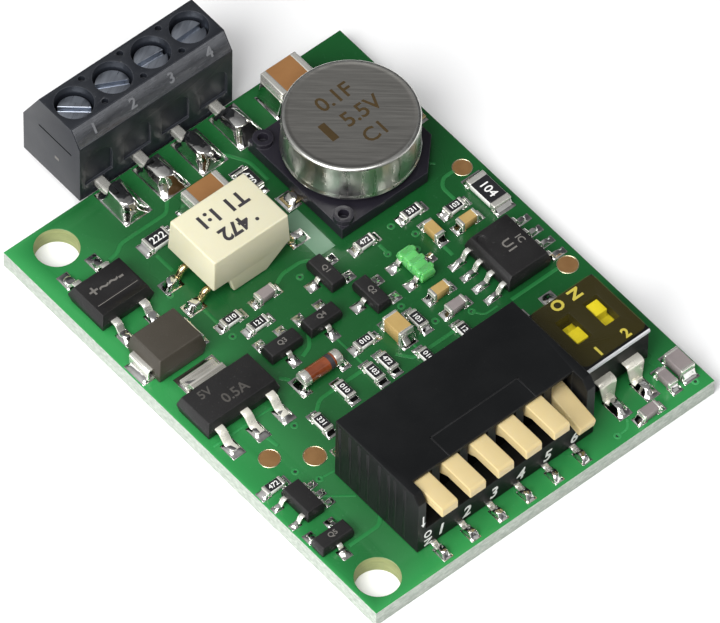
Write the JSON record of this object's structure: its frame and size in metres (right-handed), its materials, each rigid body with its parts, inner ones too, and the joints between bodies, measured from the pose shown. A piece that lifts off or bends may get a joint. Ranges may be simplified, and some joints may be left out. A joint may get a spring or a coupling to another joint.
{
  "type": "small control board",
  "caption": "Small green control board with a screw terminal block, a piano-lever switch, a slide switch, a coin supercapacitor, a small transformer and surface-mount parts.",
  "frame": {"origin": "centre of the board's underside", "axes": "+Z out of the component side, +Y from the piano switch's edge to the terminal block's edge, +X along the piano switch from its first lever to its last"},
  "size_m": [0.031, 0.0469, 0.0084],
  "materials": {
    "board_green": "glossy solder mask over glass-epoxy laminate",
    "terminal_plastic": "satin dark grey moulding",
    "switch_black": "satin black moulding",
    "lever_ivory": "satin ivory moulding",
    "knob_yellow": "satin yellow moulding",
    "amber_film": "clear amber film",
    "screw_zinc": "bright zinc plate",
    "cage_steel": "zinc-plated steel",
    "tinned_metal": "bright tin plate",
    "can_steel": "brushed top, bright drawn side",
    "base_black": "satin black moulding",
    "cell_carbon": "matt black",
    "transformer_ivory": "satin ivory moulding",
    "ferrite": "matt dark grey ceramic",
    "copper_wire": "enamelled copper",
    "epoxy_black": "fine matt moulding compound",
    "epoxy_grey": "matt grey-brown moulding compound",
    "diode_glass": "clear orange glass",
    "led_green": "milky green resin",
    "ceramic_brown": "fired brown ceramic",
    "ceramic_tan": "fired tan ceramic",
    "ceramic_mauve": "fired mauve-grey ceramic",
    "resistor_film": "glossy black overglaze with white print",
    "solder": "bright reflowed solder",
    "copper_pad": "bare copper pad",
    "gold_lead": "gold-tinted tinned wire",
    "legend_white": "printed legend",
    "legend_yellow": "printed legend under amber film",
    "legend_dark": "printed legend"
  },
  "bodies": {
    "control_board": {"board": "board_green", "terminal_housing": "terminal_plastic", "supercap_base": "base_black", "supercap_can": "can_steel", "supercap_cell": "cell_carbon", "transformer_case": "transformer_ivory", "transformer_core": "ferrite", "transformer_winding": "copper_wire", "bridge_rectifier": "epoxy_black", "power_diode": "epoxy_grey", "regulator_body": "epoxy_black", "regulator_tab": "tinned_metal", "driver_chip": "epoxy_black", "slide_switch_housing": "switch_black", "slide_switch_film": "amber_film", "piano_switch_housing": "switch_black", "piano_switch_base": "switch_black", "glass_diode": "diode_glass", "status_led": "led_green", "supervisor_chip": "epoxy_black", "sense_resistor": "resistor_film", "resistor_0805_1": "resistor_film", "resistor_0805_2": "resistor_film", "bulk_capacitor_1": "ceramic_brown", "bulk_capacitor_2": "ceramic_brown", "capacitor_0805_1": "ceramic_tan", "capacitor_0805_2": "ceramic_mauve", "terminal_pin_1": "tinned_metal", "terminal_pin_2": "tinned_metal", "terminal_pin_3": "tinned_metal", "terminal_pin_4": "tinned_metal", "transistor_1": "epoxy_black", "transistor_2": "epoxy_black", "transistor_3": "epoxy_black", "transistor_4": "epoxy_black", "transistor_5": "epoxy_black", "capacitor_0603_1": "ceramic_tan", "capacitor_0603_2": "ceramic_tan", "capacitor_0603_3": "ceramic_tan", "capacitor_0603_4": "ceramic_mauve", "capacitor_0603_5": "ceramic_mauve", "capacitor_0603_6": "ceramic_mauve", "capacitor_0603_7": "ceramic_mauve"},
    "screw_1": {"terminal_screw_1": "screw_zinc"},
    "cage_1": {"clamp_cage_1": "cage_steel"},
    "screw_2": {"terminal_screw_2": "screw_zinc"},
    "cage_2": {"clamp_cage_2": "cage_steel"},
    "screw_3": {"terminal_screw_3": "screw_zinc"},
    "cage_3": {"clamp_cage_3": "cage_steel"},
    "screw_4": {"terminal_screw_4": "screw_zinc"},
    "cage_4": {"clamp_cage_4": "cage_steel"},
    "lever_1": {"piano_lever_1": "lever_ivory"},
    "lever_2": {"piano_lever_2": "lever_ivory"},
    "lever_3": {"piano_lever_3": "lever_ivory"},
    "lever_4": {"piano_lever_4": "lever_ivory"},
    "lever_5": {"piano_lever_5": "lever_ivory"},
    "lever_6": {"piano_lever_6": "lever_ivory"},
    "knob_1": {"slide_knob_1": "knob_yellow"},
    "knob_2": {"slide_knob_2": "knob_yellow"}
  },
  "joints": [
    {"name": "screw_1_turn", "type": "hinge", "parent": "control_board", "child": "screw_1", "pos_m": [-0.0066, 0.0231, 0.00765], "axis": [0, 0, -1], "range_deg": [0, 1080]},
    {"name": "cage_1_lift", "type": "slide", "parent": "control_board", "child": "cage_1", "axis": [0, 0, 1], "range_m": [0, 0.0012]},
    {"name": "screw_2_turn", "type": "hinge", "parent": "control_board", "child": "screw_2", "pos_m": [-0.0031, 0.0231, 0.00765], "axis": [0, 0, -1], "range_deg": [0, 1080]},
    {"name": "cage_2_lift", "type": "slide", "parent": "control_board", "child": "cage_2", "axis": [0, 0, 1], "range_m": [0, 0.0012]},
    {"name": "screw_3_turn", "type": "hinge", "parent": "control_board", "child": "screw_3", "pos_m": [0.0004, 0.0231, 0.00765], "axis": [0, 0, -1], "range_deg": [0, 1080]},
    {"name": "cage_3_lift", "type": "slide", "parent": "control_board", "child": "cage_3", "axis": [0, 0, 1], "range_m": [0, 0.0012]},
    {"name": "screw_4_turn", "type": "hinge", "parent": "control_board", "child": "screw_4", "pos_m": [0.0039, 0.0231, 0.00765], "axis": [0, 0, -1], "range_deg": [0, 1080]},
    {"name": "cage_4_lift", "type": "slide", "parent": "control_board", "child": "cage_4", "axis": [0, 0, 1], "range_m": [0, 0.0012]},
    {"name": "lever_1_press", "type": "hinge", "parent": "control_board", "child": "lever_1", "pos_m": [-0.0084, -0.0105, 0.0067], "axis": [1, 0, 0], "range_deg": [0, 12.5]},
    {"name": "lever_2_press", "type": "hinge", "parent": "control_board", "child": "lever_2", "pos_m": [-0.00586, -0.0105, 0.0067], "axis": [1, 0, 0], "range_deg": [0, 12.5]},
    {"name": "lever_3_press", "type": "hinge", "parent": "control_board", "child": "lever_3", "pos_m": [-0.00332, -0.0105, 0.0067], "axis": [1, 0, 0], "range_deg": [0, 12.5]},
    {"name": "lever_4_press", "type": "hinge", "parent": "control_board", "child": "lever_4", "pos_m": [-0.00078, -0.0105, 0.0067], "axis": [1, 0, 0], "range_deg": [0, 12.5]},
    {"name": "lever_5_press", "type": "hinge", "parent": "control_board", "child": "lever_5", "pos_m": [0.00176, -0.0105, 0.0067], "axis": [1, 0, 0], "range_deg": [0, 12.5]},
    {"name": "lever_6_press", "type": "hinge", "parent": "control_board", "child": "lever_6", "pos_m": [0.0043, -0.0105, 0.0067], "axis": [1, 0, 0], "range_deg": [-12.5, 0]},
    {"name": "knob_1_slide", "type": "slide", "parent": "control_board", "child": "knob_1", "axis": [0, 1, 0], "range_m": [0, 0.00095]},
    {"name": "knob_2_slide", "type": "slide", "parent": "control_board", "child": "knob_2", "axis": [0, 1, 0], "range_m": [-0.00095, 0]}
  ],
  "couplings": [
    {"joint": "screw_1_turn", "follows": "cage_1_lift", "rad_per_m": 15708},
    {"joint": "screw_2_turn", "follows": "cage_2_lift", "rad_per_m": 15708},
    {"joint": "screw_3_turn", "follows": "cage_3_lift", "rad_per_m": 15708},
    {"joint": "screw_4_turn", "follows": "cage_4_lift", "rad_per_m": 15708}
  ]
}
